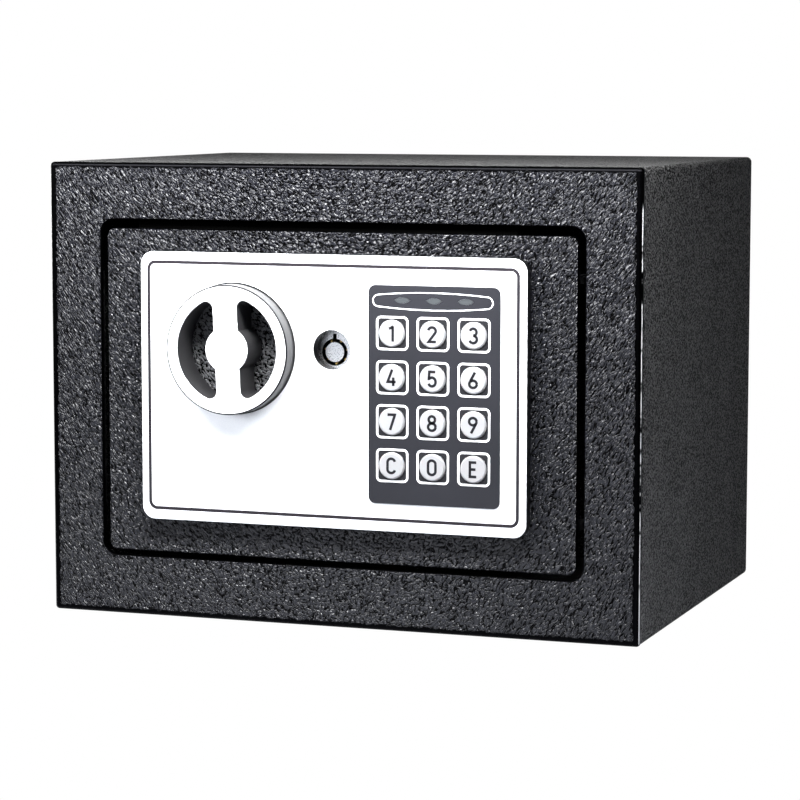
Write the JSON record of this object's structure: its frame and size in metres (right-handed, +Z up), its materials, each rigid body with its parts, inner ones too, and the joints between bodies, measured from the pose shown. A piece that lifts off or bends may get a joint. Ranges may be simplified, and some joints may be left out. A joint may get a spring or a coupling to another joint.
{
  "type": "safe",
  "caption": "Small steel safe: keypad, turning knob and emergency lock on a concealed-hinge door, round sliding bolts, solenoid latch and battery box behind it.",
  "frame": {"origin": "At the middle of the cabinet's underside, on the surface the safe stands on.", "axes": "+X points to the right of someone who faces the door, +Y to the back panel and +Z up. The door is shut and its bolts are drawn back."},
  "size_m": [0.23, 0.1816, 0.17],
  "materials": {
    "front_paint": "coarse black wrinkle powder coat, half gloss",
    "body_paint": "fine black textured powder coat, matt",
    "inner_paint": "plain black powder coat",
    "felt": "grey needled felt",
    "zinc_steel": "bright zinc plate",
    "chrome": "polished chrome plate",
    "brass": "turned brass",
    "fascia_silver": "silver lacquer, half gloss",
    "knob_silver": "silver lacquer, half gloss",
    "panel_film": "dark printed film",
    "key_caps": "pale grey moulded keys with dark legends",
    "lens": "smoked oval lenses",
    "mat_rubber": "grey silicone rubber",
    "circuit": "green circuit board",
    "coil_wire": "taped copper winding",
    "cover_plastic": "black moulded plastic",
    "reset_red": "red moulded plastic",
    "cell_wrap": "printed cell wrapper, plain"
  },
  "bodies": {
    "cabinet": {"front_frame": "front_paint", "body_wrap": "body_paint", "back_panel": "body_paint", "floor_mat": "felt", "strike_bar": "inner_paint", "door_stop_upper": "inner_paint", "door_stop_lower": "inner_paint", "hinge_bracket_upper": "inner_paint", "hinge_bracket_lower": "inner_paint", "hinge_rod": "zinc_steel"},
    "door": {"door_plate": "front_paint", "lock_plate": "front_paint", "hinge_arm_upper": "inner_paint", "hinge_arm_lower": "inner_paint", "fascia": "fascia_silver", "fascia_screws": "zinc_steel", "keypad_panel": "panel_film", "keypad_mat": "mat_rubber", "keypad_board": "circuit", "light_lenses": "lens", "spindle_bush": "brass", "bolt_guide": "zinc_steel", "guide_studs": "zinc_steel", "solenoid_frame": "zinc_steel", "solenoid_coil": "coil_wire", "lock_barrel": "chrome", "lock_nut": "zinc_steel", "inner_cover": "cover_plastic", "cover_posts": "cover_plastic", "cover_screws": "zinc_steel", "control_board": "circuit", "battery_tray": "cover_plastic", "battery_cells": "cell_wrap", "battery_contacts": "zinc_steel"},
    "knob": {"knob": "knob_silver", "knob_spindle": "zinc_steel", "crank_arm": "zinc_steel", "crank_screw": "zinc_steel"},
    "bolts": {"bolt_carriage": "zinc_steel", "bolt_upper": "chrome", "bolt_lower": "chrome", "bolt_screws": "zinc_steel"},
    "plunger": {"solenoid_plunger": "zinc_steel", "plunger_spring": "zinc_steel"},
    "lock_plug": {"lock_plug": "chrome", "lock_cam": "zinc_steel"},
    "reset_button": {"reset_button": "reset_red"},
    "battery_cover": {"battery_cover": "cover_plastic"},
    "key_1": {"key_1": "key_caps"},
    "key_2": {"key_2": "key_caps"},
    "key_3": {"key_3": "key_caps"},
    "key_4": {"key_4": "key_caps"},
    "key_5": {"key_5": "key_caps"},
    "key_6": {"key_6": "key_caps"},
    "key_7": {"key_7": "key_caps"},
    "key_8": {"key_8": "key_caps"},
    "key_9": {"key_9": "key_caps"},
    "key_0": {"key_0": "key_caps"},
    "key_clear": {"key_clear": "key_caps"},
    "key_enter": {"key_enter": "key_caps"}
  },
  "joints": [
    {"name": "door_hinge", "type": "hinge", "parent": "cabinet", "child": "door", "pos_m": [0.1055, -0.075, 0.085], "axis": [0, 0, 1], "range_deg": [0, 90]},
    {"name": "knob_turn", "type": "hinge", "parent": "door", "child": "knob", "pos_m": [-0.0385, -0.09, 0.1023], "axis": [0, -1, 0], "range_deg": [0, 70]},
    {"name": "bolt_slide", "type": "slide", "parent": "door", "child": "bolts", "axis": [-1, 0, 0], "range_m": [0, 0.01377]},
    {"name": "latch_drop", "type": "slide", "parent": "door", "child": "plunger", "axis": [0, 0, -1], "range_m": [0, 0.004], "stiffness_N_per_m": 50, "springref_m": 0.008, "deforming": ["plunger_spring"]},
    {"name": "emergency_lock_turn", "type": "hinge", "parent": "door", "child": "lock_plug", "pos_m": [-0.0012, -0.08, 0.1016], "axis": [0, 1, 0], "range_deg": [0, 90]},
    {"name": "reset_press", "type": "slide", "parent": "door", "child": "reset_button", "axis": [0, -1, 0], "range_m": [0, 0.0012], "stiffness_N_per_m": 400},
    {"name": "battery_cover_pull", "type": "slide", "parent": "door", "child": "battery_cover", "axis": [0, 1, 0], "range_m": [0, 0.02]},
    {"name": "key_1_press", "type": "slide", "parent": "door", "child": "key_1", "axis": [0, 1, 0], "range_m": [0, 0.001], "stiffness_N_per_m": 600},
    {"name": "key_2_press", "type": "slide", "parent": "door", "child": "key_2", "axis": [0, 1, 0], "range_m": [0, 0.001], "stiffness_N_per_m": 600},
    {"name": "key_3_press", "type": "slide", "parent": "door", "child": "key_3", "axis": [0, 1, 0], "range_m": [0, 0.001], "stiffness_N_per_m": 600},
    {"name": "key_4_press", "type": "slide", "parent": "door", "child": "key_4", "axis": [0, 1, 0], "range_m": [0, 0.001], "stiffness_N_per_m": 600},
    {"name": "key_5_press", "type": "slide", "parent": "door", "child": "key_5", "axis": [0, 1, 0], "range_m": [0, 0.001], "stiffness_N_per_m": 600},
    {"name": "key_6_press", "type": "slide", "parent": "door", "child": "key_6", "axis": [0, 1, 0], "range_m": [0, 0.001], "stiffness_N_per_m": 600},
    {"name": "key_7_press", "type": "slide", "parent": "door", "child": "key_7", "axis": [0, 1, 0], "range_m": [0, 0.001], "stiffness_N_per_m": 600},
    {"name": "key_8_press", "type": "slide", "parent": "door", "child": "key_8", "axis": [0, 1, 0], "range_m": [0, 0.001], "stiffness_N_per_m": 600},
    {"name": "key_9_press", "type": "slide", "parent": "door", "child": "key_9", "axis": [0, 1, 0], "range_m": [0, 0.001], "stiffness_N_per_m": 600},
    {"name": "key_0_press", "type": "slide", "parent": "door", "child": "key_0", "axis": [0, 1, 0], "range_m": [0, 0.001], "stiffness_N_per_m": 600},
    {"name": "key_clear_press", "type": "slide", "parent": "door", "child": "key_clear", "axis": [0, 1, 0], "range_m": [0, 0.001], "stiffness_N_per_m": 600},
    {"name": "key_enter_press", "type": "slide", "parent": "door", "child": "key_enter", "axis": [0, 1, 0], "range_m": [0, 0.001], "stiffness_N_per_m": 600}
  ],
  "couplings": [
    {"joint": "knob_turn", "follows": "bolt_slide", "rad_per_m": 88.72}
  ]
}
